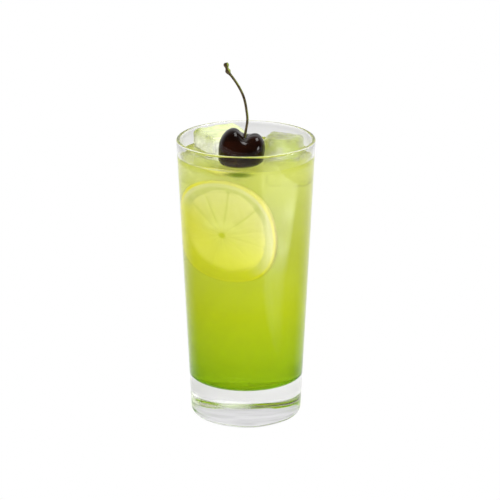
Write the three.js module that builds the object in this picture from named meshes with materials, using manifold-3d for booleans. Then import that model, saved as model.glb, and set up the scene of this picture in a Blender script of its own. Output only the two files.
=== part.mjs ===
// A tall glass of cloudy yellow-green cocktail with ice, a lemon slice and a dark cherry.
// Millimetres, +Z up. The origin is the centre of the glass's underside, and the front is -Y.

import * as THREE from 'three';
import { mergeVertices } from 'three/addons/utils/BufferGeometryUtils.js';
import { LoftGeometry } from 'three/addons/geometries/LoftGeometry.js';
import { RoundedBoxGeometry } from 'three/addons/geometries/RoundedBoxGeometry.js';
import Module from 'manifold-3d';

const wasm = await Module();
wasm.setup();

// Space left between pieces that touch
const GAP = 0.3;

// Glass: a straight taper on a thick clear base
const RIM_RADIUS = 37.5;
const BASE_RADIUS = 30.2;
const GLASS_HEIGHT = 157;
const HEEL_RADIUS = 4;
const RIM_WALL = 1.6;
const FOOT_WALL = 2.6;
const BEAD_WALL = 2;
const BEAD_HEIGHT = 3.5;
const FLOOR_HEIGHT = 22.5;
const FLOOR_CORNER = 3;
const ROUND_SIDES = 60;

// Drink: filled to 10 mm under the rim
const DRINK_LEVEL = 147;

// Lemon slice: a thin round cut from the middle of the fruit, upright against the front left of the wall
const LEMON_RADIUS = 28.3;
const LEMON_OVAL = 1.05;
const LEMON_THICKNESS = 2.8;
const LEMON_EDGE = 1;
const LEMON_SEGMENTS = 12;
const LEMON_RIND = 6.4;
const LEMON_RELIEF = 0.3;
const LEMON_HEIGHT = 110.8;
const LEMON_OUT = 17;
const LEMON_TURN = -30;
const LEMON_LEAN = -7;
const LEMON_SLOT = 0.7;

// Cherry: a deep heart-shaped fruit, its stem hollow run out to the front and back, leaning right
const CHERRY_RADIUS = 12.4;
const CHERRY_SQUAT = 0.97;
const CHERRY_DEPTH = 1.27;
const CHERRY_HOLLOW = 0.56;
const CHERRY_HOLLOW_SIDE = 26;
const CHERRY_HOLLOW_FRONT = 58;
const CHERRY_PLACE = new THREE.Vector3(-2.1, -10.2, 154.6);
const CHERRY_LEAN_RIGHT = 15;
const CHERRY_LEAN_FORWARD = 6;

// Stem: a thin stalk that bends left to a woody knob
const STEM_RADIUS = 0.68;
const STEM_KNOB_RADIUS = 1.45;
const STEM_KNOB_LENGTH = 6.3;
const STEM_SIDES = 10;
const STEM_STEPS = 26;
const STEM_ROUTE = [
  [-0.7, -11, 160.8],
  [0, -11.3, 164.5],
  [0.8, -10.7, 169.9],
  [0.3, -10.3, 175.3],
  [-0.7, -10, 180.7],
  [-2.3, -9.8, 185.1],
  [-4.7, -9.7, 189.5],
  [-7.3, -9.6, 193.3],
  [-9.4, -9.6, 196.2],
  [-10.6, -9.6, 200.7],
];

// Ice: two half-melted cubes that stand out of the drink
const ICE_ROUNDING = 3;
const ICE_MELT = 0.45;
const ICE_CUBES = [
  { name: 'ice_left', size: [25, 22, 26], place: [-13, 14.5, 144.6], turn: 25, tilt: [3, -2] },
  { name: 'ice_right', size: [20, 20, 24], place: [20.2, 5.5, 144.6], turn: -12, tilt: [-2, 2] },
];

// Finishes
const GLASS_LOOK = { color: 0xf2f5f3, roughness: 0.02, metalness: 0, transparent: true, opacity: 0.35 };
const DRINK_LOOK = { color: 0xb6c52f, roughness: 0.1, metalness: 0, transparent: true, opacity: 0.75 };
const LEMON_LOOK = { color: 0xdcdb78, roughness: 0.4, metalness: 0 };
const CHERRY_LOOK = { color: 0x1c0a08, roughness: 0.12, metalness: 0 };
const STEM_LOOK = { color: 0x2e2a16, roughness: 0.6, metalness: 0 };
const ICE_LOOK = { color: 0xdadcd4, roughness: 0.15, metalness: 0, transparent: true, opacity: 0.6 };

const radians = THREE.MathUtils.degToRad;

// Radius of the glass's outside at a height
function outerRadius(z) {
  return THREE.MathUtils.lerp(BASE_RADIUS, RIM_RADIUS, z / GLASS_HEIGHT);
}

// Radius of the glass's inside at a height: the wall thins from the foot to the rim
function innerRadius(z) {
  const climb = (z - FLOOR_HEIGHT) / (GLASS_HEIGHT - FLOOR_HEIGHT);
  return outerRadius(z) - THREE.MathUtils.lerp(FOOT_WALL, RIM_WALL, climb);
}

// Points on an arc in a profile, angles in degrees from the outward direction
function arc(centreRadius, centreHeight, radius, from, to, steps) {
  const points = [];
  for (let i = 0; i <= steps; i += 1) {
    const angle = radians(THREE.MathUtils.lerp(from, to, i / steps));
    points.push([centreRadius + radius * Math.cos(angle), centreHeight + radius * Math.sin(angle)]);
  }
  return points;
}

// Keeps positions only, joins shared corners, drops flat triangles and turns all faces outward
function closedGeometry(source) {
  const bare = new THREE.BufferGeometry().copy(source);
  for (const name of ['normal', 'uv']) bare.deleteAttribute(name);
  const merged = mergeVertices(bare, 1e-4);
  const index = merged.index.array;
  const triangles = [];
  for (let i = 0; i < index.length; i += 3) {
    const [a, b, c] = [index[i], index[i + 1], index[i + 2]];
    if (a !== b && b !== c && c !== a) triangles.push(a, b, c);
  }
  const corner = (n) => new THREE.Vector3().fromBufferAttribute(merged.attributes.position, n);
  let volume = 0;
  for (let i = 0; i < triangles.length; i += 3) {
    volume += corner(triangles[i]).dot(corner(triangles[i + 1]).cross(corner(triangles[i + 2])));
  }
  if (volume < 0) triangles.reverse();
  merged.setIndex(triangles);
  merged.computeVertexNormals();
  return merged;
}

// Revolves a profile of [radius, height] points about Z
function revolve(profile, sides) {
  const points = profile.map(([radius, height]) => new THREE.Vector2(radius, height));
  return closedGeometry(new THREE.LatheGeometry(points, sides).rotateX(Math.PI / 2));
}

// Moves every vertex of a geometry by a function of its place
function reshape(geometry, move) {
  const position = geometry.attributes.position;
  const point = new THREE.Vector3();
  for (let i = 0; i < position.count; i += 1) {
    move(point.fromBufferAttribute(position, i));
    position.setXYZ(i, point.x, point.y, point.z);
  }
  geometry.computeVertexNormals();
  return geometry;
}

// A boolean solid from a mesh, in the mesh's place
function solidOf(mesh) {
  mesh.updateMatrixWorld(true);
  const placed = mesh.geometry.clone().applyMatrix4(mesh.matrixWorld);
  const vertProperties = new Float32Array(placed.attributes.position.array);
  const triVerts = new Uint32Array(placed.index.array);
  return new wasm.Manifold(new wasm.Mesh({ numProp: 3, vertProperties, triVerts }));
}

// A geometry from a boolean solid
function geometryOf(solid) {
  const { vertProperties, triVerts } = solid.getMesh();
  const geometry = new THREE.BufferGeometry();
  geometry.setAttribute('position', new THREE.BufferAttribute(vertProperties, 3));
  geometry.setIndex(new THREE.BufferAttribute(triVerts, 1));
  geometry.computeVertexNormals();
  return geometry;
}

function namedMesh(name, geometry, look) {
  const mesh = new THREE.Mesh(geometry, new THREE.MeshStandardMaterial(look));
  mesh.name = name;
  return mesh;
}

// Taper angle of the wall, in degrees
const taper = THREE.MathUtils.radToDeg(Math.atan((RIM_RADIUS - BASE_RADIUS) / GLASS_HEIGHT));

// Inside of the glass from the axis to the top of the straight wall, set in by a distance
function cavityProfile(inset, top) {
  const cornerHeight = FLOOR_HEIGHT + FLOOR_CORNER;
  const cornerRadius = innerRadius(cornerHeight) - FLOOR_CORNER * Math.cos(radians(taper));
  const corner = arc(cornerRadius, cornerHeight, FLOOR_CORNER - inset, -90, -taper, 5);
  return [[0, FLOOR_HEIGHT + inset], ...corner, [innerRadius(top) - inset, top]];
}

// The glass: flat underside, round heel, straight taper, rounded bead at the rim, deep clear base
function glassMesh() {
  const heelRadius = outerRadius(HEEL_RADIUS) - HEEL_RADIUS * Math.cos(radians(taper));
  const lip = BEAD_WALL / 2;
  const lipHeight = GLASS_HEIGHT - lip;
  const outside = [[0, 0], ...arc(heelRadius, HEEL_RADIUS, HEEL_RADIUS, -90, -taper, 6)];
  const rim = arc(outerRadius(lipHeight) - lip, lipHeight, lip, 0, 180, 8);
  const inside = cavityProfile(0, GLASS_HEIGHT - BEAD_HEIGHT).reverse();
  return namedMesh('glass', revolve([...outside, ...rim, ...inside], ROUND_SIDES), GLASS_LOOK);
}

// Outline of the lemon slice: a little taller than wide and uneven, as a cut fruit is
function lemonOutline(angle) {
  const oval = 1 / Math.hypot(Math.cos(angle), Math.sin(angle) / LEMON_OVAL);
  return oval * (1 - 0.012 * Math.cos(4 * angle) + 0.008 * Math.cos(3 * angle + 0.8));
}

// The lemon slice, its cut faces raised a little in each segment of flesh
function lemonMesh(grow) {
  const half = LEMON_THICKNESS / 2 + grow;
  const radius = LEMON_RADIUS + grow;
  const flesh = LEMON_RADIUS - LEMON_RIND;
  const cut = [0.35, 0.8, 1].map((reach) => [flesh * reach, half]);
  const face = grow === 0 ? [[0, half], ...cut] : [[0, half]];
  const edge = arc(radius - LEMON_EDGE, half - LEMON_EDGE, LEMON_EDGE, 90, 0, 2);
  const upper = [...face, ...edge];
  const lower = upper.map(([r, z]) => [r, -z]).reverse();
  const slice = reshape(revolve([...upper, ...lower], ROUND_SIDES), (point) => {
    const angle = Math.atan2(point.y, point.x);
    const reach = Math.hypot(point.x, point.y) / flesh;
    const pulp = Math.abs(Math.sin(angle * LEMON_SEGMENTS / 2)) * Math.sin(Math.PI * Math.min(reach, 1));
    const outline = lemonOutline(angle);
    point.x *= outline;
    point.y *= outline;
    point.z += Math.sign(point.z) * LEMON_RELIEF * (pulp - 1) * (reach < 1 && grow === 0 ? 1 : 0);
  });
  const mesh = namedMesh('lemon_slice', slice, LEMON_LOOK);
  const turn = radians(LEMON_TURN);
  mesh.rotation.set(radians(90 - LEMON_LEAN), 0, turn, 'ZXY');
  mesh.position.set(LEMON_OUT * Math.sin(turn), -LEMON_OUT * Math.cos(turn), LEMON_HEIGHT);
  return mesh;
}

// Distance of the cherry's skin from its middle, by angle from the stem and angle round it
function cherryReach(polar, round) {
  const widen = (CHERRY_HOLLOW_FRONT - CHERRY_HOLLOW_SIDE) * Math.sin(round) ** 4;
  const hollow = CHERRY_HOLLOW * Math.exp(-((polar / radians(CHERRY_HOLLOW_SIDE + widen)) ** 2));
  return CHERRY_RADIUS * (1 - hollow);
}

// The cherry, with its stem hollow at the top
function cherryMesh(grow) {
  const fruit = closedGeometry(new THREE.SphereGeometry(1, 32, 16).rotateX(Math.PI / 2));
  reshape(fruit, (point) => {
    const polar = Math.acos(THREE.MathUtils.clamp(point.z, -1, 1));
    point.multiplyScalar(cherryReach(polar, Math.atan2(point.y, point.x)) + grow);
    point.z *= point.z > 0 ? CHERRY_SQUAT : CHERRY_DEPTH;
  });
  const mesh = namedMesh('cherry', fruit, CHERRY_LOOK);
  mesh.rotation.set(radians(CHERRY_LEAN_FORWARD), radians(CHERRY_LEAN_RIGHT), 0);
  mesh.position.copy(CHERRY_PLACE);
  return mesh;
}

// Radius of the stem at a distance from its end, with a woody knob of two swellings
function stemRadius(fromEnd) {
  const along = fromEnd / STEM_KNOB_LENGTH;
  const swell = Math.exp(-(((along - 0.16) / 0.2) ** 2)) + Math.exp(-(((along - 0.72) / 0.2) ** 2));
  return STEM_RADIUS + (STEM_KNOB_RADIUS - STEM_RADIUS) * Math.min(swell, 1);
}

// The stem, as round sections along its bent route
function stemMesh() {
  const route = new THREE.CatmullRomCurve3(STEM_ROUTE.map((place) => new THREE.Vector3(...place)));
  const length = route.getLength();
  const sections = [];
  for (let i = 0; i <= STEM_STEPS; i += 1) {
    const along = 1 - (1 - i / STEM_STEPS) ** 1.5;
    const centre = route.getPointAt(along);
    const tangent = route.getTangentAt(along);
    const side = new THREE.Vector3(0, 1, 0).cross(tangent).normalize();
    const front = tangent.clone().cross(side);
    const radius = stemRadius((1 - along) * length);
    const ring = [];
    for (let j = 0; j < STEM_SIDES; j += 1) {
      const angle = (2 * Math.PI * j) / STEM_SIDES;
      const spoke = side.clone().multiplyScalar(Math.cos(angle)).addScaledVector(front, Math.sin(angle));
      ring.push(centre.clone().addScaledVector(spoke, radius));
    }
    sections.push(ring);
  }
  const stalk = new LoftGeometry(sections, { capStart: true, capEnd: true });
  return namedMesh('cherry_stem', closedGeometry(stalk), STEM_LOOK);
}

// One ice cube with melted, wavy faces
function iceMesh({ name, size, place, turn, tilt }, grow) {
  const [width, depth, height] = size.map((edge) => edge + 2 * grow);
  const block = new RoundedBoxGeometry(width, depth, height, 3, ICE_ROUNDING + grow);
  const cube = reshape(closedGeometry(block), (point) => {
    point.x += ICE_MELT * Math.sin(point.z / 4 + point.y / 6);
    point.y += ICE_MELT * Math.sin(point.x / 5 - point.z / 5);
    point.z += ICE_MELT * Math.sin(point.x / 4 + point.y / 5);
  });
  const mesh = namedMesh(name, cube, ICE_LOOK);
  mesh.rotation.set(radians(tilt[0]), radians(tilt[1]), radians(turn), 'ZXY');
  mesh.position.set(...place);
  return mesh;
}

// The drink: fills the glass to its level, cut round the lemon slice, the cherry and the ice.
// The slice presses on the wall, so its slot opens at the drink's side.
function drinkMesh() {
  const profile = [...cavityProfile(GAP, DRINK_LEVEL), [0, DRINK_LEVEL]];
  const cutters = [lemonMesh(LEMON_SLOT), cherryMesh(GAP), ...ICE_CUBES.map((cube) => iceMesh(cube, GAP))];
  let drink = solidOf(namedMesh('fill', revolve(profile, ROUND_SIDES), DRINK_LOOK));
  for (const cutter of cutters) drink = drink.subtract(solidOf(cutter));
  return namedMesh('drink', closedGeometry(geometryOf(drink)), DRINK_LOOK);
}

const cocktail = new THREE.Group();
cocktail.add(glassMesh(), drinkMesh(), lemonMesh(0), cherryMesh(0), stemMesh());
for (const cube of ICE_CUBES) cocktail.add(iceMesh(cube, 0));

export default cocktail;
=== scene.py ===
"""Looks of a tall glass of cloudy yellow-green cocktail with ice, a lemon slice and a dark cherry.

Sizes are in millimetres and become metres as each mesh is made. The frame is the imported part's:
+Z up, origin at the centre of the glass's underside, front at -Y.
"""

import math
from types import SimpleNamespace

import bmesh
import bpy
import numpy as np
from mathutils import Euler, Matrix, Vector, noise


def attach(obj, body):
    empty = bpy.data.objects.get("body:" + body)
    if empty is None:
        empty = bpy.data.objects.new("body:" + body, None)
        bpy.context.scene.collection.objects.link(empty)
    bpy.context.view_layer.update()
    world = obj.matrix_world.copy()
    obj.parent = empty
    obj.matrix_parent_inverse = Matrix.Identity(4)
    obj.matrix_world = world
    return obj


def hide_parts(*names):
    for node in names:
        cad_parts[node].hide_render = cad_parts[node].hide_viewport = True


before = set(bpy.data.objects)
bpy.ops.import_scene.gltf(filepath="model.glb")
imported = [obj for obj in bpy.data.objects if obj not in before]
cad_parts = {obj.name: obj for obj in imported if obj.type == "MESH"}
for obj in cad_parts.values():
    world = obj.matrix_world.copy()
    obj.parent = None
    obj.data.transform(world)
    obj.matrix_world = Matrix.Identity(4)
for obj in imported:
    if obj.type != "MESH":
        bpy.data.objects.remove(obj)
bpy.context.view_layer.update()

MM = 0.001
WHITE = (1.0, 1.0, 1.0)

# Glass
RIM_RADIUS = 37.5
BASE_RADIUS = 30.2
GLASS_HEIGHT = 157.0
HEEL_RADIUS = 4.0
RIM_WALL = 1.6
FOOT_WALL = 2.6
BEAD_WALL = 2.0
BEAD_HEIGHT = 3.5
FLOOR_HEIGHT = 22.5
FLOOR_CORNER = 3.0
FOOT_RIPPLE = 0.3
FOOT_RIPPLE_SCALE = 0.06
UNEVEN_FOOT = 6.0
UNEVEN_FOOT_RIPPLE = [(0.2, 1.0), (0.8, 0.15)]
SURFACE_RIPPLE = 0.8
GLASS_IOR = 1.5
GLASS_TINTS = [(0.1, (0.88, 0.875, 0.89)), (0.9, (0.97, 0.97, 0.97))]
GLASS_MIRRORING = (0.4, 0.4, 0.4, 1.0)

# Dull patch low at the back of the glass: its roughness, and where each of its edges fades
HEEL_PATCH_ROUGHNESS = [(0.35, 0.35), (0.65, 0.7)]
HEEL_PATCH_HEIGHT = [(0.4, 1.0), (0.8, 0.0)]
HEEL_PATCH_FRONT = (16.0, 23.0)
HEEL_PATCH_LEFT = (-6.0, -4.0)
HEEL_PATCH_RIGHT = (4.0, -3.0)

# Steps of the glass's outline
GLASS_SIDES = 192
UNDERSIDE_STEPS = 8
HEEL_STEPS = 16
OUTSIDE_STEPS = 36
RIM_STEPS = 20
BEAD_STEPS = 5
INSIDE_STEPS = 30
CORNER_STEPS = 14
FLOOR_STEPS = 8

# Drink
DRINK_LEVEL = 147.0
WALL_BITE = 0.25
MENISCUS = 1.3
MENISCUS_REACH = 1.7
DRINK_RINGS = 60
DRINK_RING_CROWDING = 1.4
DRINK_IOR = 1.345
DRINK_MIRRORING = (0.1, 0.1, 0.1, 1.0)
# Tint by height: the drink's own yellow-green, with painted light making it paler towards the top and
# greener towards the bottom
DRINK_TINTS_WITH_PAINTED_LIGHT = [
    (0.0, (0.34, 0.64, 0.005)), (0.35, (0.7, 0.8, 0.025)), (0.6, (0.85, 0.9, 0.25)), (1.0, WHITE),
]
HAZE_ABSORBED = (0.74, 0.78, 0.0, 1.0)
HAZE_ABSORPTION = 34.0
HAZE_SCATTERED = (0.94, 1.0, 0.25, 1.0)
HAZE_SCATTERING = 36.0
HAZE_FORWARD = 0.3

# Painted shadow: a dark patch on the front of the drink, under the cherry
CHERRY_SHADOW_CENTRE = (-3.8, 146.875)
CHERRY_SHADOW_HALF_WIDTH = 10.0
CHERRY_SHADOW_HALF_HEIGHT = 2.0833
CHERRY_SHADOW_FRONT = (-30.0, -32.0)
CHERRY_SHADOW_COLOUR = (0.13, 0.2, 0.06)

# Lemon slice
LEMON_RADIUS = 28.3
LEMON_THICKNESS = 2.8
LEMON_EDGE = 1.0
LEMON_SEGMENTS = 12
LEMON_SWAY = 0.16
LEMON_SWAYS = 3
LEMON_OVAL = 1.05
LEMON_SQUARE = 0.012
LEMON_LOBES = 0.008
LEMON_LOBE_TURN = 0.8
LEMON_FLESH = 0.78
LEMON_SUNK = 0.3
LEMON_SUNK_WIDTH = 2.0
LEMON_SUNK_CURVE = 0.6
LEMON_SUNK_EDGE = 0.12
LEMON_CORE = (-2.2, -2.0)
LEMON_HEIGHT = 110.8
LEMON_OUT = 17.0
LEMON_TURN = -30.0
LEMON_LEAN = -7.0
LEMON_SIDES = 240
LEMON_FACE_STEPS = 60
LEMON_EDGE_STEPS = 6

# Lemon colours; a pair of numbers says where a blend starts and ends, in mm or as a share of the radius
# Rightward across the slice: painted light on the flesh and rind grows this way, and the notches reach
# this way
RIGHTWARD = (0.8, 0.6)
SAC_LENGTH = 0.28
SAC_COUNT = 5.0
SAC_DEPTH = 0.2
SHADED_SIDE = (2.0, -16.0)
# Painted light: shaded deep yellow flesh at the left, lit paler flesh to the right
FLESH_SHADED = [(0.1, (0.55, 0.51, 0.015)), (0.8, (0.52, 0.48, 0.01))]
FLESH_LIT = [(0.1, (0.62, 0.585, 0.42)), (0.8, (0.58, 0.555, 0.36))]
FLESH_LIT_REACH = (-17.0, 5.0)
# Painted light: the flesh is paler low down
FLESH_LIT_LOW = (0.86, 0.8, 0.4)
FLESH_LIT_LOW_REACH = (9.0, -17.0)
FLESH_LIT_LOW_SHARE = 0.62
FLESH_MIDDLE = (0.78, 0.77, 0.56)
FLESH_MIDDLE_RISE = (1.0, 6.0)
FLESH_MIDDLE_REACH = (13.0, 5.0)
FLESH_MIDDLE_SHARE = 0.7
SEGMENT_SKIN = (0.42, 0.43, 0.2)
SEGMENT_SKIN_WIDTH = (0.7, 0.15)
SEGMENT_SKIN_START = (4.0, 8.0)
SEGMENT_SKIN_RISE = (2.0, 10.0)
SEGMENT_SKIN_SHARE = 0.7
CORE_COLOUR = (0.36, 0.4, 0.01)
CORE_REACH = (2.6, 0.9)
PITH_GREY = [(0.3, (0.37, 0.39, 0.2)), (0.7, (0.45, 0.46, 0.28))]
PITH_GREY_RING = (0.9, 0.86)
PITH_GREY_RISE = (2.0, 16.0)
PITH_PALE = (0.53, 0.515, 0.39)
PITH_SHADED = (0.5, 0.485, 0.004)
RIND_COLOURS = [(0.35, (0.55, 0.51, 0.005)), (0.65, (0.63, 0.58, 0.015))]
# Painted light: the rind is paler to the right
RIND_LIT = (0.6, 0.55, 0.2)
RIND_LIT_REACH = (0.0, 20.0)
RIND_RING = (0.94, 0.96)
LEMON_GLOW_THROUGH = 0.3
LEMON_ROUGHNESS = 0.35
LEMON_SHINE = 0.1

# Edge between flesh and pith: notches at the skins, and how the edge moves with each mm of X and Y
NOTCH_WIDTH = (2.5, 0.0)
NOTCH_REACH = (0.0, 12.0)
NOTCH_DEPTH = -0.05
EDGE_GRAIN = 0.04
EDGE_RIGHT = -0.0016
EDGE_UP = 0.0014
EDGE_LEFT = 0.004
EDGE_CRISP = (0.01, -0.01)
EDGE_SOFT = (0.03, -0.12)

# Cherry and stem
CHERRY_RADIUS = 12.4
CHERRY_SQUAT = 0.97
CHERRY_HOLLOW = 0.56
CHERRY_HOLLOW_SIDE = 26.0
CHERRY_HOLLOW_FRONT = 58.0
CHERRY_DEPTH = 1.27
CHERRY_PLACE = (-2.1, -10.2, 154.6)
CHERRY_LEAN_RIGHT = 15.0
CHERRY_LEAN_FORWARD = 6.0
CHERRY_WATERLINE = 0.8
CHERRY_SIDES = 160
CHERRY_ROWS = 113
CHERRY_SKIN = [(0.35, (0.0025, 0.0008, 0.0003)), (0.75, (0.009, 0.002, 0.0008))]
CHERRY_DOTS = (0.025, 0.01, 0.006)
CHERRY_DOT_SIZE = (0.1, 0.04)
CHERRY_ROUGHNESS = [(0.3, 0.1), (0.7, 0.17)]
CHERRY_SHINE = 0.16
CHERRY_BUMP = 0.2
STEM_RADIUS = 0.68
STEM_KNOB_RADIUS = 1.45
STEM_KNOB_LENGTH = 6.3
STEM_SWELLINGS = (0.16, 0.72)
STEM_SWELLING_WIDTH = 0.2
STEM_SIDES = 20
STEM_RINGS = 160
STEM_CURVE_STEPS = 24
STEM_BARK = [(0.3, (0.008, 0.006, 0.003)), (0.7, (0.045, 0.03, 0.012))]
STEM_GREEN = (0.16, 0.2, 0.03)
STEM_GREEN_SIDE = (0.2, 0.75)
STEM_GREEN_PATCHES = (0.35, 0.6)
STEM_ROUGHNESS = 0.6
STEM_SHINE = 0.2
STEM_BUMP = 0.15
STEM_ROUTE = [
    (-0.7, -11.0, 160.2), (0.0, -11.3, 164.5), (0.8, -10.7, 169.9), (0.3, -10.3, 175.3),
    (-0.7, -10.0, 180.7), (-2.3, -9.8, 185.1), (-4.7, -9.7, 189.5), (-7.3, -9.6, 193.3),
    (-9.4, -9.6, 196.2), (-10.6, -9.6, 200.7),
]

# Ice
ICE_ROUNDING = 3.0
ICE_BITE = 0.15
ICE_STEPS = 26
ICE_DENT = 0.8
ICE_DENT_SCALES = (0.11, 0.3)
ICE_SMALL_DENTS = 0.4
ICE_IOR = 1.31
ICE_ROUGHNESS = 0.08
ICE_BUMP = 0.25
ICE_LEAST_WHITE = 0.05
ICE_MOST_WHITE = 0.85
ICE_CLOUDS = (0.42, 0.75)
ICE_CLOUD_SPREAD = 0.3
ICE_DARKER = 0.85
ICE_PAINTED_STREAKS = (0.42, 0.62)
ICE_FROST_RISE = (140.0, 147.0)
ICE_FROST_ACROSS = (-0.95, -0.5)
ICE_PAINTED_CROWN_RISE = (153.0, 156.5)
ICE_CLEAR_UNDER = (146.0, 142.0)
# Painted green light from the drink, in streaks and on the ice's top
ICE_STREAK_PAINTED_GREEN = (0.5, 0.62, 0.06)
ICE_CROWN_PAINTED_GREEN = (0.5, 0.6, 0.1)

# Ice cubes: block is size, place, turn about Z and tilt about X and Y; salt makes the dents differ
# In each look, green and crown are shares of the painted green light from the drink
ICE_CUBES = [
    {
        "piece": "ice_left_cube", "node": "ice_left", "salt": 10.0,
        "block": ((25.0, 22.0, 26.0), (-13.0, 14.5, 144.6), 25.0, (3.0, -2.0)),
        "look": {
            "name": "ice_frosted", "frost": 0.9, "haze": 0.15, "pale": 0.71, "green": 0.1, "crown": 0.6,
        },
    },
    {
        "piece": "ice_right_cube", "node": "ice_right", "salt": 20.0,
        "block": ((20.0, 20.0, 24.0), (20.2, 5.5, 144.6), -12.0, (-2.0, 2.0)),
        "look": {
            "name": "ice_wet", "frost": 0.29, "haze": 0.85, "pale": 0.62, "green": 0.5, "crown": 0.0,
        },
    },
]

# Card that the glass mirrors: its near edge, brightness and soft edge are (height, value)
CARD_HEIGHT = 112.0
CARD_WIDTH = 270.0
CARD_GLOW = 7.5
CARD_RIGHT = 100.0
CARD_ROWS = 57
CARD_COLUMNS = 41
CARD_NEAR = [(0, -38), (48, -43), (112, -2)]
CARD_BRIGHT = [(0, 0.15), (40, 0.75), (70, 1.15), (112, 0.55)]
CARD_SOFT = [(30, 0.4), (70, 0.07)]
CARD_UNEVEN = 0.7

# Floor
FLOOR_REACH = 6000.0
FLOOR_DROP = -0.4
FLOOR_GREY = (0.5, 0.5, 0.5, 1.0)
FLOOR_GLOW = 0.18
FLOOR_ROUGHNESS = 0.9
FLOOR_SHINE = 0.1

# Sky: (height, grey) at the back and front, and (depth, grey) where it is mirrored
SKY_BACK = [(0.1, 1.0), (0.5, 0.78), (0.95, 0.5)]
SKY_FRONT = [(0.1, 0.8), (0.3, 0.55), (0.9, 0.5)]
SKY_MIRRORED = [(0.3, 0.08), (0.85, 0.95)]
SKY_TURN = (0.1, -0.4)

# Lamps, in metres and watts: name, place, width, height, power and whether it is mirrored
LAMP_AIM = (0.0, 0.0, 0.08)
LAMPS = [
    ("window_right", (1.2, -0.28, 0.36), 0.4, 0.45, 8.0, True),
    ("fill_front", (-0.6, -1.15, 0.5), 0.6, 0.8, 41.0, False),
    ("overhead", (0.4, 0.3, 1.1), 0.45, 0.45, 6.3, True),
]

# Most times that a ray of each kind may bounce
BOUNCES = {
    "max_bounces": 40,
    "glossy_bounces": 24,
    "transmission_bounces": 36,
    "volume_bounces": 12,
    "transparent_max_bounces": 24,
}

# Camera, fitted to the glass's outline in the photograph
CAMERA_TARGET = (2.18, 0.0, 93.7)
CAMERA_DISTANCE = 1300.0
CAMERA_ELEVATION = 18.27
CAMERA_LENS = 171.6
CAMERA_SIGHT = 50000.0


# Meshes


def make_object(name, points, faces):
    """A smooth mesh object from points in millimetres, with its faces turned outward."""
    mesh = bpy.data.meshes.new(name)
    mesh.from_pydata((np.asarray(points) * MM).tolist(), [], faces)
    shape = bmesh.new()
    shape.from_mesh(mesh)
    bmesh.ops.recalc_face_normals(shape, faces=shape.faces)
    shape.to_mesh(mesh)
    shape.free()
    mesh.polygons.foreach_set("use_smooth", [True] * len(mesh.polygons))
    piece = bpy.data.objects.new(name, mesh)
    bpy.context.scene.collection.objects.link(piece)
    return piece


def skin(rows):
    """Points and faces of a closed skin over rows of points; a row of one point is a pole."""
    points = np.concatenate(rows)
    starts = np.cumsum([0] + [len(row) for row in rows])
    faces = []
    for low, high, first, second in zip(rows[:-1], rows[1:], starts[:-1], starts[1:]):
        sides = max(len(low), len(high))
        for i in range(sides):
            j = (i + 1) % sides
            if len(low) == 1:
                faces.append((first, second + i, second + j))
            elif len(high) == 1:
                faces.append((first + i, second, first + j))
            else:
                faces.append((first + i, second + i, second + j, first + j))
    return points, [tuple(int(n) for n in face) for face in faces]


def ring(radius, height, sides):
    """A level circle of points, or its centre if the radius is nothing."""
    if radius < 1e-6:
        return np.array([[0.0, 0.0, height]])
    angle = np.arange(sides) * 2 * math.pi / sides
    return np.stack([radius * np.cos(angle), radius * np.sin(angle), np.full(sides, height)], -1)


def arc(centre_radius, centre_height, radius, start, end, steps):
    """Points on part of a circle in an outline, between two angles in degrees."""
    angles = np.radians(np.linspace(start, end, steps + 1))
    return [(centre_radius + radius * math.cos(a), centre_height + radius * math.sin(a)) for a in angles]


def straight(start, end, steps):
    """Points on a line, without its two ends."""
    shares = np.linspace(0, 1, steps + 1)[1:-1]
    return [(start[0] + (end[0] - start[0]) * s, start[1] + (end[1] - start[1]) * s) for s in shares]


def add_attribute(piece, name, values):
    """Stores a number, or three, at each point for the material to read."""
    values = np.asarray(values, dtype=np.float32)
    vector = values.ndim == 2
    layer = piece.data.attributes.new(name, "FLOAT_VECTOR" if vector else "FLOAT", "POINT")
    layer.data.foreach_set("vector" if vector else "value", values.ravel())


# Glass shape


TAPER = math.degrees(math.atan((RIM_RADIUS - BASE_RADIUS) / GLASS_HEIGHT))


def outer_radius(z):
    return BASE_RADIUS + (RIM_RADIUS - BASE_RADIUS) * z / GLASS_HEIGHT


def inner_radius(z):
    climb = (z - FLOOR_HEIGHT) / (GLASS_HEIGHT - FLOOR_HEIGHT)
    return outer_radius(z) - (FOOT_WALL + (RIM_WALL - FOOT_WALL) * climb)


def cavity_profile(outset, top):
    """Inside of the glass from the axis to a height, set out into the glass by a distance."""
    corner_height = FLOOR_HEIGHT + FLOOR_CORNER
    corner_radius = inner_radius(corner_height) - FLOOR_CORNER * math.cos(math.radians(TAPER))
    corner = arc(corner_radius, corner_height, FLOOR_CORNER + outset, -90, -TAPER, CORNER_STEPS)
    floor = (0.0, FLOOR_HEIGHT - outset)
    end = (inner_radius(top) + outset, top)
    flat = straight(floor, corner[0], FLOOR_STEPS)
    wall = straight(corner[-1], end, INSIDE_STEPS)
    return [floor, *flat, *corner, *wall, end]


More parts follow.
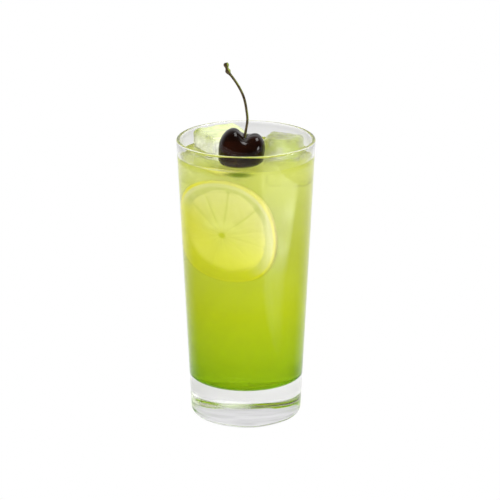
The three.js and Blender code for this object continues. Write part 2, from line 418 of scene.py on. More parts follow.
def build_glass():
    """The glass, turned from one outline: underside, heel, outside, rim and inside."""
    heel_radius = outer_radius(HEEL_RADIUS) - HEEL_RADIUS * math.cos(math.radians(TAPER))
    lip = BEAD_WALL / 2
    lip_height = GLASS_HEIGHT - lip
    heel = arc(heel_radius, HEEL_RADIUS, HEEL_RADIUS, -90, -TAPER, HEEL_STEPS)
    rim = arc(outer_radius(lip_height) - lip, lip_height, lip, 0, 180, RIM_STEPS)
    inside = cavity_profile(0.0, GLASS_HEIGHT - BEAD_HEIGHT)
    profile = [(0.0, 0.0), *straight((0.0, 0.0), heel[0], UNDERSIDE_STEPS), *heel]
    profile += [*straight(heel[-1], rim[0], OUTSIDE_STEPS), *rim]
    profile += [*straight(rim[-1], inside[-1], BEAD_STEPS), *reversed(inside)]
    points, faces = skin([ring(r, z, GLASS_SIDES) for r, z in profile])
    for point in points:
        foot = max(1 - point[2] / HEEL_RADIUS, 0)
        ripple = noise.noise(Vector((point[0], point[1], 3.0)) * FOOT_RIPPLE_SCALE)
        point[2] += FOOT_RIPPLE * foot * (1 + ripple)
    return make_object("glass_body", points, faces)


# Ice shape


def cube_grid(steps):
    """Points and faces of a cube's surface from -1 to 1, each face a grid."""
    index = {}
    points = []
    faces = []
    span = np.linspace(-1, 1, steps + 1)

    def corner(place):
        key = tuple(round(float(c), 6) for c in place)
        if key not in index:
            index[key] = len(points)
            points.append(key)
        return index[key]

    for axis in range(3):
        for side in (-1.0, 1.0):
            for i in range(steps):
                for j in range(steps):
                    quad = []
                    for u, v in ((i, j), (i + 1, j), (i + 1, j + 1), (i, j + 1)):
                        place = [0.0, 0.0, 0.0]
                        place[axis] = side
                        place[(axis + 1) % 3] = span[u]
                        place[(axis + 2) % 3] = span[v]
                        quad.append(corner(place))
                    faces.append(tuple(quad))
    return np.array(points), faces


def ice_points(block, inset, salt):
    """Points of one melted cube: a rounded box with shallow dents, set in by a distance."""
    size, place, turn, tilt = block
    grid, faces = cube_grid(ICE_STEPS)
    half = np.array(size) / 2
    core = np.clip(grid * half, -(half - ICE_ROUNDING), half - ICE_ROUNDING)
    outward = grid * half - core
    outward /= np.linalg.norm(outward, axis=1)[:, None]
    broad, fine = ICE_DENT_SCALES
    dents = np.array([
        noise.noise(Vector(p) * broad + Vector((salt, 2.7 * salt, 0.4)))
        + ICE_SMALL_DENTS * noise.noise(Vector(p) * fine + Vector((1.3 * salt, 0.2, salt)))
        for p in core + outward * ICE_ROUNDING
    ])
    points = core + outward * (ICE_ROUNDING + ICE_DENT * dents - inset)[:, None]
    turned = Euler((math.radians(tilt[0]), math.radians(tilt[1]), 0.0), "XYZ").to_matrix()
    turned = Matrix.Rotation(math.radians(turn), 3, "Z") @ turned
    return points @ np.array(turned).T + np.array(place), faces


def build_ice(name, block, inset, salt):
    """One cube; each point keeps its place across the cube for the material to read."""
    points, faces = ice_points(block, inset, salt)
    ice = make_object(name, points, faces)
    add_attribute(ice, "ice_across", cube_grid(ICE_STEPS)[0][:, 0])
    return ice


# Drink shape


def plan_distance(x, y, block):
    """Distance on the drink's surface from an ice cube's side, negative inside it."""
    size, place, turn, _ = block
    c = math.cos(math.radians(turn))
    s = math.sin(math.radians(turn))
    dx = x - place[0]
    dy = y - place[1]
    across = np.abs(c * dx + s * dy) - size[0] / 2 + ICE_ROUNDING
    along = np.abs(-s * dx + c * dy) - size[1] / 2 + ICE_ROUNDING
    outside = np.hypot(np.maximum(across, 0), np.maximum(along, 0))
    return outside + np.minimum(np.maximum(across, along), 0) - ICE_ROUNDING


def drink_height(x, y):
    """Height of the drink's surface: it climbs where it meets the wall, the cherry and the ice."""
    wall = inner_radius(DRINK_LEVEL) - np.hypot(x, y)
    cherry = np.hypot(x - CHERRY_PLACE[0], y - CHERRY_PLACE[1]) - CHERRY_RADIUS * CHERRY_WATERLINE
    cubes = [plan_distance(x, y, cube["block"]) for cube in ICE_CUBES]
    climb = np.zeros_like(x)
    for distance in (wall, cherry, *cubes):
        climb = np.maximum(climb, MENISCUS * np.exp(-np.maximum(distance, 0) / MENISCUS_REACH))
    return DRINK_LEVEL + climb


def build_drink():
    """The drink up to its surface, with the ice cut out of it."""
    edge = DRINK_LEVEL + MENISCUS
    rows = [ring(r, z, GLASS_SIDES) for r, z in cavity_profile(WALL_BITE, edge)]
    shares = np.linspace(0, 1, DRINK_RINGS + 1)[:-1] ** DRINK_RING_CROWDING
    for radius in inner_radius(DRINK_LEVEL) * (1 - shares):
        row = ring(radius, 0.0, GLASS_SIDES)
        row[:, 2] = drink_height(row[:, 0], row[:, 1])
        rows.append(row)
    rows.append(np.array([[0.0, 0.0, float(drink_height(np.zeros(1), np.zeros(1))[0])]]))
    drink = make_object("drink_body", *skin(rows))
    for cube in ICE_CUBES:
        cut_from(drink, build_ice(cube["piece"] + "_cut", cube["block"], ICE_BITE, cube["salt"]))
    return drink


def cut_from(piece, cutter):
    """Takes the cutter's space out of a piece, and removes the cutter."""
    cut = piece.modifiers.new("cut", "BOOLEAN")
    cut.operation = "DIFFERENCE"
    cut.solver = "MANIFOLD"
    cut.object = cutter
    graph = bpy.context.evaluated_depsgraph_get()
    mesh = bpy.data.meshes.new_from_object(piece.evaluated_get(graph))
    piece.modifiers.clear()
    piece.data = mesh
    bpy.data.objects.remove(cutter)


# Lemon slice shape


def lemon_outline(angle):
    """How far the slice reaches in each direction, as a share of its radius."""
    oval = 1 / np.hypot(np.cos(angle), np.sin(angle) / LEMON_OVAL)
    lobes = LEMON_LOBES * np.cos(3 * angle + LEMON_LOBE_TURN)
    return oval * (1 - LEMON_SQUARE * np.cos(4 * angle) + lobes)


def lemon_pattern(points):
    """Share of the way to the rind, and distance to the nearest skin between segments."""
    ring_share = np.hypot(points[:, 0], points[:, 1]) / LEMON_RADIUS
    ring_share = ring_share / lemon_outline(np.arctan2(points[:, 1], points[:, 0]))
    dx = points[:, 0] - LEMON_CORE[0]
    dy = points[:, 1] - LEMON_CORE[1]
    angle = np.arctan2(dy, dx)
    turn = 0.5 + angle * LEMON_SEGMENTS / (2 * math.pi) + LEMON_SWAY * np.sin(LEMON_SWAYS * angle)
    seam = np.abs(turn - np.round(turn)) * np.hypot(dx, dy) * 2 * math.pi / LEMON_SEGMENTS
    return ring_share, seam


def build_lemon():
    """The slice, its flesh sunk a little at the skins; each point keeps its place on the slice."""
    half = LEMON_THICKNESS / 2
    flat = LEMON_RADIUS - LEMON_EDGE
    face = [(r, half) for r in np.linspace(0, flat, LEMON_FACE_STEPS)]
    edge = arc(flat, half - LEMON_EDGE, LEMON_EDGE, 90, 0, LEMON_EDGE_STEPS)[1:]
    upper = [*face, *edge]
    profile = [*upper, *[(r, -z) for r, z in reversed(upper)]]
    rows = []
    for radius, height in profile:
        row = ring(radius, height, LEMON_SIDES)
        row[:, :2] *= lemon_outline(np.arctan2(row[:, 1], row[:, 0]))[:, None]
        rows.append(row)
    points, faces = skin(rows)
    ring_share, seam = lemon_pattern(points)
    plump = np.clip(seam / LEMON_SUNK_WIDTH, 0, 1) ** LEMON_SUNK_CURVE
    plump = plump * np.clip((LEMON_FLESH - ring_share) / LEMON_SUNK_EDGE, 0, 1)
    sunk = np.where(ring_share < LEMON_FLESH, LEMON_SUNK * (plump - 1), 0.0)
    points[:, 2] += np.sign(points[:, 2]) * sunk
    lean = Matrix.Rotation(math.radians(90 - LEMON_LEAN), 3, "X")
    turned = Matrix.Rotation(math.radians(LEMON_TURN), 3, "Z") @ lean
    out = math.radians(LEMON_TURN)
    place = np.array([LEMON_OUT * math.sin(out), -LEMON_OUT * math.cos(out), LEMON_HEIGHT])
    lemon = make_object("lemon_slice_fruit", points @ np.array(turned).T + place, faces)
    add_attribute(lemon, "slice_place", points)
    add_attribute(lemon, "slice_ring", ring_share)
    return lemon


# Cherry shape


def cherry_reach(polar, around):
    """Distance of the skin from the middle: two shoulders with a hollow between them."""
    spread = CHERRY_HOLLOW_SIDE + (CHERRY_HOLLOW_FRONT - CHERRY_HOLLOW_SIDE) * np.sin(around) ** 4
    hollow = CHERRY_HOLLOW * np.exp(-((polar / np.radians(spread)) ** 2))
    return CHERRY_RADIUS * (1 - hollow)


def build_cherry():
    """The cherry, heart-shaped, leaning to the right and forward."""
    rows = []
    for polar in np.linspace(0, math.pi, CHERRY_ROWS):
        around = np.arange(CHERRY_SIDES) * 2 * math.pi / CHERRY_SIDES
        if polar in (0.0, math.pi):
            around = around[:1]
        reach = cherry_reach(polar, around)
        flat = reach * math.sin(polar)
        height = reach * math.cos(polar) * (CHERRY_SQUAT if polar < math.pi / 2 else CHERRY_DEPTH)
        rows.append(np.stack([flat * np.cos(around), flat * np.sin(around), height], -1))
    points, faces = skin(rows)
    lean_right = Matrix.Rotation(math.radians(CHERRY_LEAN_RIGHT), 3, "Y")
    lean = Matrix.Rotation(math.radians(CHERRY_LEAN_FORWARD), 3, "X") @ lean_right
    return make_object("cherry_fruit", points @ np.array(lean).T + np.array(CHERRY_PLACE), faces)


def stem_curve(steps):
    """Even points along a smooth curve through the stem's places, and the curve's length."""
    knots = np.array(STEM_ROUTE)
    padded = np.concatenate([[2 * knots[0] - knots[1]], knots, [2 * knots[-1] - knots[-2]]])
    points = []
    for i in range(len(knots) - 1):
        a, b, c, d = padded[i:i + 4]
        for t in np.linspace(0, 1, STEM_CURVE_STEPS, endpoint=False):
            points.append(0.5 * (2 * b + (c - a) * t + (2 * a - 5 * b + 4 * c - d) * t ** 2
                                 + (3 * b - a - 3 * c + d) * t ** 3))
    points.append(knots[-1])
    points = np.array(points)
    along = np.concatenate([[0], np.cumsum(np.linalg.norm(np.diff(points, axis=0), axis=1))])
    even = np.linspace(0, along[-1], steps)
    return np.stack([np.interp(even, along, points[:, k]) for k in range(3)], -1), along[-1]


def stem_radius(from_end):
    """The stalk's radius, with a woody knob of two swellings at its end."""
    along = from_end / STEM_KNOB_LENGTH
    swell = sum(np.exp(-(((along - at) / STEM_SWELLING_WIDTH) ** 2)) for at in STEM_SWELLINGS)
    return STEM_RADIUS + (STEM_KNOB_RADIUS - STEM_RADIUS) * np.minimum(swell, 1.0)


def build_stem():
    """The stalk as a tube; each point keeps its side of the stalk for the material to read."""
    centres, length = stem_curve(STEM_RINGS)
    rows = [centres[:1]]
    sided = [np.zeros(1)]
    angle = np.arange(STEM_SIDES) * 2 * math.pi / STEM_SIDES
    for i, centre in enumerate(centres):
        tangent = centres[min(i + 1, len(centres) - 1)] - centres[max(i - 1, 0)]
        tangent /= np.linalg.norm(tangent)
        side = np.cross((0.0, 1.0, 0.0), tangent)
        side /= np.linalg.norm(side)
        front = np.cross(tangent, side)
        radius = stem_radius(length * (1 - i / (len(centres) - 1)))
        spokes = np.outer(np.cos(angle), side) + np.outer(np.sin(angle), front)
        rows.append(centre + radius * spokes)
        sided.append(np.cos(angle))
    rows.append(centres[-1:])
    sided.append(np.zeros(1))
    stem = make_object("cherry_stalk", *skin(rows))
    add_attribute(stem, "stem_side", np.concatenate(sided))
    return stem


# Materials


def new_material(name):
    """A new material with its node tree, main shader and output."""
    material = bpy.data.materials.new(name)
    material.use_nodes = True
    tree = material.node_tree
    return material, tree, tree.nodes["Principled BSDF"], tree.nodes["Material Output"]


def feed(tree, socket, value):
    """Links a socket to another, or sets it to a plain value."""
    if isinstance(value, bpy.types.NodeSocket):
        tree.links.new(value, socket)
    else:
        socket.default_value = value


def calculate(tree, operation, *values):
    node = tree.nodes.new("ShaderNodeMath")
    node.operation = operation
    for socket, value in zip(node.inputs, values):
        feed(tree, socket, value)
    return node.outputs[0]


def multiply(tree, product, *others):
    """The product of two or more values."""
    for other in others:
        product = calculate(tree, "MULTIPLY", product, other)
    return product


def sum_of_squares(tree, first, second):
    return calculate(tree, "ADD", multiply(tree, first, first), multiply(tree, second, second))


def set_sockets(node, values):
    """Sets a node's sockets, by name, to plain values."""
    for name, value in values.items():
        node.inputs[name].default_value = value


def fade(tree, value, start, end):
    """Goes smoothly from 0, where the value is at start, to 1, where it is at end."""
    node = tree.nodes.new("ShaderNodeMapRange")
    node.interpolation_type = "SMOOTHSTEP"
    feed(tree, node.inputs["Value"], value)
    set_sockets(node, {"From Min": start, "From Max": end})
    return node.outputs["Result"]


def fade_place(tree, value, ends):
    """Fades by a place in metres, between two places in millimetres."""
    return fade(tree, value, ends[0] * MM, ends[1] * MM)


def ramp(tree, value, stops):
    """A colour from a number, by stops of (number, colour or grey)."""
    node = tree.nodes.new("ShaderNodeValToRGB")
    feed(tree, node.inputs["Fac"], value)
    elements = node.color_ramp.elements
    while len(elements) < len(stops):
        elements.new(1.0)
    for element, (position, colour) in zip(elements, stops):
        element.position = position
        element.color = (*colour, 1.0) if isinstance(colour, tuple) else (colour, colour, colour, 1.0)
    return node.outputs["Color"]


def blend(tree, share, first, second):
    """The first colour where the share is 0, the second where it is 1."""
    node = tree.nodes.new("ShaderNodeMix")
    node.data_type = "RGBA"
    for index, value in ((0, share), (6, first), (7, second)):
        feed(tree, node.inputs[index], (*value, 1.0) if isinstance(value, tuple) else value)
    return node.outputs[2]


def object_place(tree):
    return tree.nodes.new("ShaderNodeTexCoord").outputs["Object"]


def parts_of(tree, vector):
    node = tree.nodes.new("ShaderNodeSeparateXYZ")
    feed(tree, node.inputs[0], vector)
    return node.outputs


def attribute(tree, name, output="Fac"):
    node = tree.nodes.new("ShaderNodeAttribute")
    node.attribute_name = name
    return node.outputs[output]


def mottle(tree, place, scale, detail=3.0):
    """Soft uneven spots, as a number from 0 to 1; scale is about how many fit in one unit of place."""
    node = tree.nodes.new("ShaderNodeTexNoise")
    feed(tree, node.inputs["Vector"], place)
    set_sockets(node, {"Scale": scale, "Detail": detail})
    return node.outputs["Fac"]


def cells(tree, place, scale):
    """Distance from the middle of the nearest cell of an uneven net."""
    node = tree.nodes.new("ShaderNodeTexVoronoi")
    feed(tree, node.inputs["Vector"], place)
    node.inputs["Scale"].default_value = scale
    return node.outputs["Distance"]


def add_bump(tree, shader, height, depth):
    """Raises the surface by up to a depth in millimetres."""
    node = tree.nodes.new("ShaderNodeBump")
    node.inputs["Distance"].default_value = depth * MM
    feed(tree, node.inputs["Height"], height)
    tree.links.new(node.outputs["Normal"], shader.inputs["Normal"])


def mix_shaders(tree, share, first, second, output):
    """Shows the first shader where the share is 0 and the second where it is 1."""
    mix = tree.nodes.new("ShaderNodeMixShader")
    feed(tree, mix.inputs["Fac"], share)
    tree.links.new(first.outputs[0], mix.inputs[1])
    tree.links.new(second.outputs[0], mix.inputs[2])
    tree.links.new(mix.outputs[0], output.inputs["Surface"])


def let_light_through(tree, shader, output):
    """Lets lamps shine straight through a clear surface instead of casting a black shadow."""
    path = tree.nodes.new("ShaderNodeLightPath")
    clear = tree.nodes.new("ShaderNodeBsdfTransparent")
    mix_shaders(tree, path.outputs["Is Shadow Ray"], shader, clear, output)


def height_share(tree, low, high):
    """How far up a point is between two heights in millimetres, from 0 to 1."""
    node = tree.nodes.new("ShaderNodeMapRange")
    feed(tree, node.inputs["Value"], parts_of(tree, object_place(tree))["Z"])
    set_sockets(node, {"From Min": low * MM, "From Max": high * MM})
    return node.outputs["Result"]


def heel_patch(tree):
    """Roughness of a dull patch low at the back of the glass, and nothing elsewhere."""
    place = object_place(tree)
    across = parts_of(tree, place)
    return multiply(
        tree,
        ramp(tree, mottle(tree, place, scale=45.0, detail=1.0), HEEL_PATCH_ROUGHNESS),
        ramp(tree, height_share(tree, 0.0, UNEVEN_FOOT), HEEL_PATCH_HEIGHT),
        fade_place(tree, across["Y"], HEEL_PATCH_FRONT),
        fade_place(tree, across["X"], HEEL_PATCH_LEFT),
        fade_place(tree, across["X"], HEEL_PATCH_RIGHT),
    )


def glass_material():
    """Clear glass, a little greyer in the thick base, with faint ripples and an uneven foot."""
    material, tree, shader, output = new_material("clear_glass")
    tint = ramp(tree, height_share(tree, 0.0, GLASS_HEIGHT), GLASS_TINTS)
    feed(tree, shader.inputs["Base Color"], tint)
    feed(tree, shader.inputs["Roughness"], heel_patch(tree))
    set_sockets(shader, {"IOR": GLASS_IOR, "Specular Tint": GLASS_MIRRORING, "Transmission Weight": 1.0})
    uneven = ramp(tree, height_share(tree, 0.0, UNEVEN_FOOT), UNEVEN_FOOT_RIPPLE)
    ripples = mottle(tree, object_place(tree), scale=70.0, detail=1.0)
    add_bump(tree, shader, multiply(tree, ripples, uneven), SURFACE_RIPPLE)
    let_light_through(tree, shader, output)
    return material


def add_haze(tree, output, share):
    """Fills a piece with a share of the drink's yellow-green cloud."""
    absorb = tree.nodes.new("ShaderNodeVolumeAbsorption")
    set_sockets(absorb, {"Color": HAZE_ABSORBED, "Density": HAZE_ABSORPTION * share})
    scatter = tree.nodes.new("ShaderNodeVolumeScatter")
    set_sockets(scatter, {"Color": HAZE_SCATTERED, "Density": HAZE_SCATTERING * share})
    scatter.inputs["Anisotropy"].default_value = HAZE_FORWARD
    both = tree.nodes.new("ShaderNodeAddShader")
    tree.links.new(absorb.outputs[0], both.inputs[0])
    tree.links.new(scatter.outputs[0], both.inputs[1])
    tree.links.new(both.outputs[0], output.inputs["Volume"])


def cherry_shadow_share(tree):
    """Share of the painted shadow under the cherry, on the drink's front only."""
    place = parts_of(tree, object_place(tree))
    offsets = []
    for axis, centre, half in zip("XZ", CHERRY_SHADOW_CENTRE, (CHERRY_SHADOW_HALF_WIDTH, CHERRY_SHADOW_HALF_HEIGHT)):
        offsets.append(calculate(tree, "MULTIPLY_ADD", place[axis], 1 / (half * MM), -centre / half))
    round_spot = fade(tree, sum_of_squares(tree, *offsets), 1.0, 0.0)
    return multiply(tree, round_spot, fade_place(tree, place["Y"], CHERRY_SHADOW_FRONT))


def drink_material():
    """Cloudy drink: its own yellow-green, with painted light making it paler and yellower at the top and
    greener at the bottom, and a painted shadow under the cherry.
    """
    material, tree, shader, output = new_material("cloudy_drink")
    tint = ramp(tree, height_share(tree, FLOOR_HEIGHT, DRINK_LEVEL), DRINK_TINTS_WITH_PAINTED_LIGHT)
    # The tint, with the painted shadow under the cherry blended in
    feed(tree, shader.inputs["Base Color"], blend(tree, cherry_shadow_share(tree), tint, CHERRY_SHADOW_COLOUR))
    set_sockets(shader, {"IOR": DRINK_IOR, "Specular Tint": DRINK_MIRRORING})
    set_sockets(shader, {"Roughness": 0.0, "Transmission Weight": 1.0})
    let_light_through(tree, shader, output)
    add_haze(tree, output, 1.0)
    return material


def ice_frosting(tree, place, frost):
    """How white the ice is: in clouds, above the drink, and less at one side."""
    start, end = (edge - ICE_CLOUD_SPREAD * frost for edge in ICE_CLOUDS)
    whitest = ICE_LEAST_WHITE + ICE_MOST_WHITE * frost
    clouds = mottle(tree, place, scale=110.0, detail=4.0)
    return multiply(
        tree,
        ramp(tree, clouds, [(start, ICE_LEAST_WHITE), (end, whitest)]),
        fade(tree, attribute(tree, "ice_across"), *ICE_FROST_ACROSS),
        fade_place(tree, parts_of(tree, place)["Z"], ICE_FROST_RISE),
    )


def ice_material(name, frost, haze, pale, green, crown):
    """Wet ice: frosted, hazy and pale by shares, with painted green light from the drink in streaks and
    on its top, by shares.
    """
    material, tree, shader, output = new_material(name)
    place = object_place(tree)
    height = parts_of(tree, place)["Z"]
    clear = calculate(tree, "SUBTRACT", 1.0, ice_frosting(tree, place, frost))
    feed(tree, shader.inputs["Transmission Weight"], clear)
    shade = ramp(tree, mottle(tree, place, scale=300.0), [(0.3, ICE_DARKER * pale), (0.7, pale)])
    # Painted green light from the drink, in streaks and on the top
    streaks = fade(tree, mottle(tree, place, scale=140.0), *ICE_PAINTED_STREAKS)
    shade = blend(tree, multiply(tree, streaks, green), shade, ICE_STREAK_PAINTED_GREEN)
    shade = blend(tree, multiply(tree, fade_place(tree, height, ICE_PAINTED_CROWN_RISE), crown), shade, ICE_CROWN_PAINTED_GREEN)
    shade = blend(tree, fade_place(tree, height, ICE_CLEAR_UNDER), shade, WHITE)
    feed(tree, shader.inputs["Base Color"], shade)
    set_sockets(shader, {"Roughness": ICE_ROUGHNESS, "IOR": ICE_IOR})
    add_bump(tree, shader, mottle(tree, place, scale=260.0, detail=2.0), ICE_BUMP)
    let_light_through(tree, shader, output)
    add_haze(tree, output, haze)
    return material


def slice_pattern(tree):
    """What the slice's colours follow, in millimetres from its middle or its core."""
    cut = SimpleNamespace()
    cut.place = attribute(tree, "slice_place", "Vector")
    cut.ring = attribute(tree, "slice_ring")
    across = parts_of(tree, cut.place)
    cut.x = across["X"]
    cut.y = across["Y"]
    beside = calculate(tree, "SUBTRACT", cut.x, LEMON_CORE[0])
    cut.above = calculate(tree, "SUBTRACT", cut.y, LEMON_CORE[1])
    cut.core = calculate(tree, "SQRT", sum_of_squares(tree, beside, cut.above))
    angle = calculate(tree, "ARCTAN2", cut.above, beside)
    sway = calculate(tree, "SINE", multiply(tree, angle, float(LEMON_SWAYS)))
    turn = calculate(tree, "MULTIPLY_ADD", angle, LEMON_SEGMENTS / (2 * math.pi), 0.5)
    turn = calculate(tree, "ADD", turn, multiply(tree, sway, LEMON_SWAY))
    half_turn = calculate(tree, "PINGPONG", turn, 0.5)
    cut.seam = multiply(tree, half_turn, cut.core, 2 * math.pi / LEMON_SEGMENTS)
    cut.grain = mottle(tree, cut.place, scale=0.35)
    stretched = tree.nodes.new("ShaderNodeCombineXYZ")
    feed(tree, stretched.inputs["X"], multiply(tree, cut.core, SAC_LENGTH))
    feed(tree, stretched.inputs["Y"], multiply(tree, turn, SAC_COUNT))
    cut.sacs = cells(tree, stretched.outputs[0], scale=1.0)
    cut.right = calculate(tree, "MULTIPLY_ADD", cut.x, RIGHTWARD[0], multiply(tree, cut.y, RIGHTWARD[1]))
    cut.shaded = fade(tree, calculate(tree, "ADD", cut.x, cut.y), *SHADED_SIDE)
    return cut


def flesh_colour(tree, cut):
    """Flesh: painted shade makes it deep yellow at the left and painted light makes it paler to the right
    and low down; it is also paler over the core.
    """
    deep = ramp(tree, cut.sacs, FLESH_SHADED)
    light = ramp(tree, cut.sacs, FLESH_LIT)
    # Painted light, paler to the right
    colour = blend(tree, fade(tree, cut.right, *FLESH_LIT_REACH), deep, light)
    # Painted light, paler low down
    low = multiply(tree, fade(tree, cut.y, *FLESH_LIT_LOW_REACH), FLESH_LIT_LOW_SHARE)
    colour = blend(tree, low, colour, FLESH_LIT_LOW)
    over_core = fade(tree, cut.above, *FLESH_MIDDLE_RISE)
    near_core = fade(tree, cut.core, *FLESH_MIDDLE_REACH)
    colour = blend(tree, multiply(tree, over_core, near_core, FLESH_MIDDLE_SHARE), colour, FLESH_MIDDLE)
    skins = multiply(
        tree,
        fade(tree, cut.seam, *SEGMENT_SKIN_WIDTH),
        fade(tree, cut.core, *SEGMENT_SKIN_START),
        fade(tree, cut.above, *SEGMENT_SKIN_RISE),
        SEGMENT_SKIN_SHARE,
    )
    colour = blend(tree, skins, colour, SEGMENT_SKIN)
    return blend(tree, fade(tree, cut.core, *CORE_REACH), colour, CORE_COLOUR)


def pith_colour(tree, cut):
    """Pith: pale, greyer inside at the top, and yellow on the shaded side."""
    grey = ramp(tree, cut.grain, PITH_GREY)
    greyer = multiply(tree, fade(tree, cut.ring, *PITH_GREY_RING), fade(tree, cut.y, *PITH_GREY_RISE))
    pale = blend(tree, greyer, PITH_PALE, grey)
    return blend(tree, cut.shaded, pale, PITH_SHADED)


def flesh_share(tree, cut):
    """1 in the flesh and 0 in the pith; the edge between them is soft on the shaded side."""
    at_skin = fade(tree, cut.seam, *NOTCH_WIDTH)
    notch = multiply(tree, at_skin, fade(tree, cut.right, *NOTCH_REACH), NOTCH_DEPTH)
    edge = calculate(tree, "ADD", multiply(tree, cut.grain, EDGE_GRAIN), notch)
    wide = multiply(tree, calculate(tree, "MAXIMUM", cut.x, 0.0), EDGE_RIGHT)
    wide = calculate(tree, "MULTIPLY_ADD", calculate(tree, "MAXIMUM", cut.y, 0.0), EDGE_UP, wide)
    wide = calculate(tree, "MULTIPLY_ADD", calculate(tree, "MINIMUM", cut.x, 0.0), EDGE_LEFT, wide)
    edge = calculate(tree, "ADD", calculate(tree, "ADD", edge, wide), LEMON_FLESH)
    gap = calculate(tree, "SUBTRACT", cut.ring, edge)
    lit = calculate(tree, "SUBTRACT", 1.0, cut.shaded)
    crisp = multiply(tree, fade(tree, gap, *EDGE_CRISP), lit)
    return calculate(tree, "MULTIPLY_ADD", fade(tree, gap, *EDGE_SOFT), cut.shaded, crisp)


def rind_colour(tree, cut):
    """Yellow rind, with painted light making it paler to the right."""
    rind = ramp(tree, mottle(tree, cut.place, scale=1.6), RIND_COLOURS)
    return blend(tree, fade(tree, cut.right, *RIND_LIT_REACH), rind, RIND_LIT)


def lemon_material():
    """A cut lemon: rind, pale pith, and flesh in segments with thin skins between them."""
    material, tree, shader, output = new_material("lemon")
    cut = slice_pattern(tree)
    face = blend(tree, flesh_share(tree, cut), pith_colour(tree, cut), flesh_colour(tree, cut))
    colour = blend(tree, fade(tree, cut.ring, *RIND_RING), face, rind_colour(tree, cut))
    feed(tree, shader.inputs["Base Color"], colour)
    set_sockets(shader, {"Roughness": LEMON_ROUGHNESS, "Specular IOR Level": LEMON_SHINE})
    add_bump(tree, shader, cut.sacs, SAC_DEPTH)
    through = tree.nodes.new("ShaderNodeBsdfTranslucent")
    feed(tree, through.inputs["Color"], colour)
    mix_shaders(tree, LEMON_GLOW_THROUGH, shader, through, output)
    return material


def cherry_material():
    """Taut near-black skin with a dark red cast and faint pale dots."""
    material, tree, shader, _ = new_material("cherry_skin")
    place = object_place(tree)
    colour = ramp(tree, mottle(tree, place, scale=120.0), CHERRY_SKIN)
    dots = fade(tree, cells(tree, place, scale=420.0), *CHERRY_DOT_SIZE)
    feed(tree, shader.inputs["Base Color"], blend(tree, dots, colour, CHERRY_DOTS))
    feed(tree, shader.inputs["Roughness"], ramp(tree, mottle(tree, place, scale=300.0), CHERRY_ROUGHNESS))
    shader.inputs["Specular IOR Level"].default_value = CHERRY_SHINE
    add_bump(tree, shader, mottle(tree, place, scale=160.0, detail=2.0), CHERRY_BUMP)
    return material


def stem_material():
    """Dry brown-black stalk, green in patches down one side."""
    material, tree, shader, _ = new_material("stem")
    place = object_place(tree)
    fibres = mottle(tree, place, scale=900.0)
    green = fade(tree, attribute(tree, "stem_side"), *STEM_GREEN_SIDE)
    patches = fade(tree, mottle(tree, place, scale=160.0), *STEM_GREEN_PATCHES)
    bark = ramp(tree, fibres, STEM_BARK)
    feed(tree, shader.inputs["Base Color"], blend(tree, multiply(tree, green, patches), bark, STEM_GREEN))
    set_sockets(shader, {"Roughness": STEM_ROUGHNESS, "Specular IOR Level": STEM_SHINE})
    add_bump(tree, shader, fibres, STEM_BUMP)
    return material


# Setting


def build_floor():
    """A floor that lights the drink from below, but shows as plain white to the camera."""
    corners = [
        (x * FLOOR_REACH, y * FLOOR_REACH, FLOOR_DROP) for x, y in ((-1, -1), (1, -1), (1, 1), (-1, 1))
    ]
    floor = make_object("floor", corners, [(0, 1, 2, 3)])
    material, tree, shader, output = new_material("pale_floor")
    set_sockets(shader, {"Base Color": FLOOR_GREY, "Roughness": FLOOR_ROUGHNESS})
    shader.inputs["Specular IOR Level"].default_value = FLOOR_SHINE
    set_sockets(shader, {"Emission Color": (*WHITE, 1.0), "Emission Strength": FLOOR_GLOW})
    white = tree.nodes.new("ShaderNodeEmission")
    path = tree.nodes.new("ShaderNodeLightPath")
    mix_shaders(tree, path.outputs["Is Camera Ray"], shader, white, output)
    floor.data.materials.append(material)
    floor.visible_glossy = False


def card_points():
    """Points of the card, row by row from the bottom, and how brightly each glows."""
    points = []
    glow = []
    for z in np.linspace(0, CARD_HEIGHT, CARD_ROWS):
        near, bright, soft = (np.interp(z, *zip(*pairs)) for pairs in (CARD_NEAR, CARD_BRIGHT, CARD_SOFT))
        for share in np.linspace(0, 1, CARD_COLUMNS):
            points.append((CARD_RIGHT, near - CARD_WIDTH * share, z))
            uneven = 1 + CARD_UNEVEN * noise.noise(Vector((4.0, 9.0 * share, 0.07 * z)))
            glow.append(bright * uneven * (1 - share ** 2) ** 2 * min(share / soft, 1))
    return points, glow


def build_card():
    """A glowing card to the right that shows only as the soft streak mirrored in the glass."""
    points, glow = card_points()
    faces = []
    for i in range(CARD_ROWS - 1):
        for j in range(CARD_COLUMNS - 1):
            first = i * CARD_COLUMNS + j
            over = first + CARD_COLUMNS
            faces.append((first, first + 1, over + 1, over))
    card = make_object("card", points, faces)
    add_attribute(card, "glow", glow)
    material, tree, _, output = new_material("glowing_card")
    light = tree.nodes.new("ShaderNodeEmission")
    feed(tree, light.inputs["Strength"], multiply(tree, attribute(tree, "glow"), CARD_GLOW))
    tree.links.new(light.outputs[0], output.inputs["Surface"])
    card.data.materials.append(material)
    card.visible_camera = False
    card.visible_diffuse = False
    card.visible_transmission = False
    card.visible_volume_scatter = False
    card.visible_shadow = False


def add_light(name, place, width, height, power, mirrored):
    """A soft box aimed at the drink; one that isn't mirrored gives light but no highlight."""
    lamp = bpy.data.lights.new(name, "AREA")
    lamp.shape = "RECTANGLE"
    lamp.size = width
    lamp.size_y = height
    lamp.energy = power
    holder = bpy.data.objects.new(name, lamp)
    holder.location = place
    holder.rotation_euler = (Vector(LAMP_AIM) - Vector(place)).to_track_quat("-Z", "Y").to_euler()
    holder.visible_camera = False
    holder.visible_glossy = mirrored
    holder.visible_transmission = False
    bpy.context.scene.collection.objects.link(holder)


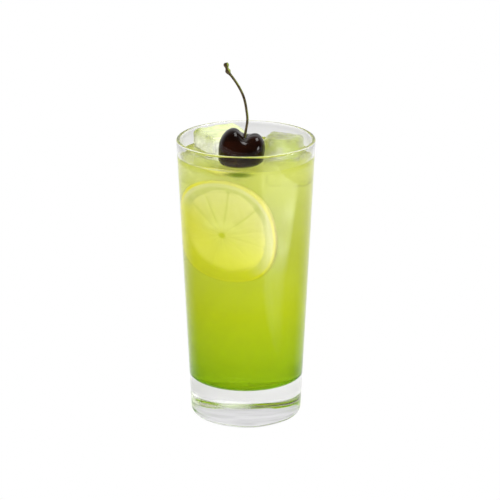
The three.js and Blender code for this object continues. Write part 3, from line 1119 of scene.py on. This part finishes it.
def build_world():
    """A pale horizon all round, darker above at the front, and another sky where it is mirrored."""
    world = bpy.data.worlds.new("studio")
    bpy.context.scene.world = world
    world.use_nodes = True
    tree = world.node_tree
    direction = parts_of(tree, tree.nodes.new("ShaderNodeTexCoord").outputs["Generated"])
    back = ramp(tree, direction["Z"], SKY_BACK)
    front = ramp(tree, direction["Z"], SKY_FRONT)
    path = tree.nodes.new("ShaderNodeLightPath").outputs
    mirrored = multiply(tree, path["Is Glossy Ray"], path["Is Reflection Ray"])
    sky = blend(tree, fade(tree, direction["Y"], *SKY_TURN), back, front)
    sky = blend(tree, mirrored, sky, ramp(tree, direction["Y"], SKY_MIRRORED))
    shown = blend(tree, path["Is Camera Ray"], sky, WHITE)
    feed(tree, tree.nodes["Background"].inputs["Color"], shown)


def build_setting():
    build_world()
    for lamp in LAMPS:
        add_light(*lamp)
    scene = bpy.context.scene
    scene.view_settings.view_transform = "Standard"
    for name, count in BOUNCES.items():
        setattr(scene.cycles, name, count)


def build_camera():
    lens = bpy.data.cameras.new("camera")
    lens.lens = CAMERA_LENS
    lens.clip_end = CAMERA_SIGHT * MM
    camera = bpy.data.objects.new("camera", lens)
    target = Vector(CAMERA_TARGET) * MM
    tilt = math.radians(CAMERA_ELEVATION)
    away = Vector((0, -math.cos(tilt), math.sin(tilt)))
    camera.location = target + away * CAMERA_DISTANCE * MM
    camera.rotation_euler = (math.pi / 2 - tilt, 0.0, 0.0)
    bpy.context.scene.collection.objects.link(camera)
    bpy.context.scene.camera = camera


def place_piece(piece, material, node):
    """Gives a piece its material and body, and hides the solid it stands for."""
    piece.data.materials.clear()
    piece.data.materials.append(material)
    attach(piece, "root")
    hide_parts(node)


build_camera()
build_setting()
build_floor()
build_card()
place_piece(build_glass(), glass_material(), "glass")
place_piece(build_drink(), drink_material(), "drink")
for cube in ICE_CUBES:
    ice = build_ice(cube["piece"], cube["block"], 0.0, cube["salt"])
    place_piece(ice, ice_material(**cube["look"]), cube["node"])
place_piece(build_lemon(), lemon_material(), "lemon_slice")
place_piece(build_cherry(), cherry_material(), "cherry")
place_piece(build_stem(), stem_material(), "cherry_stem")
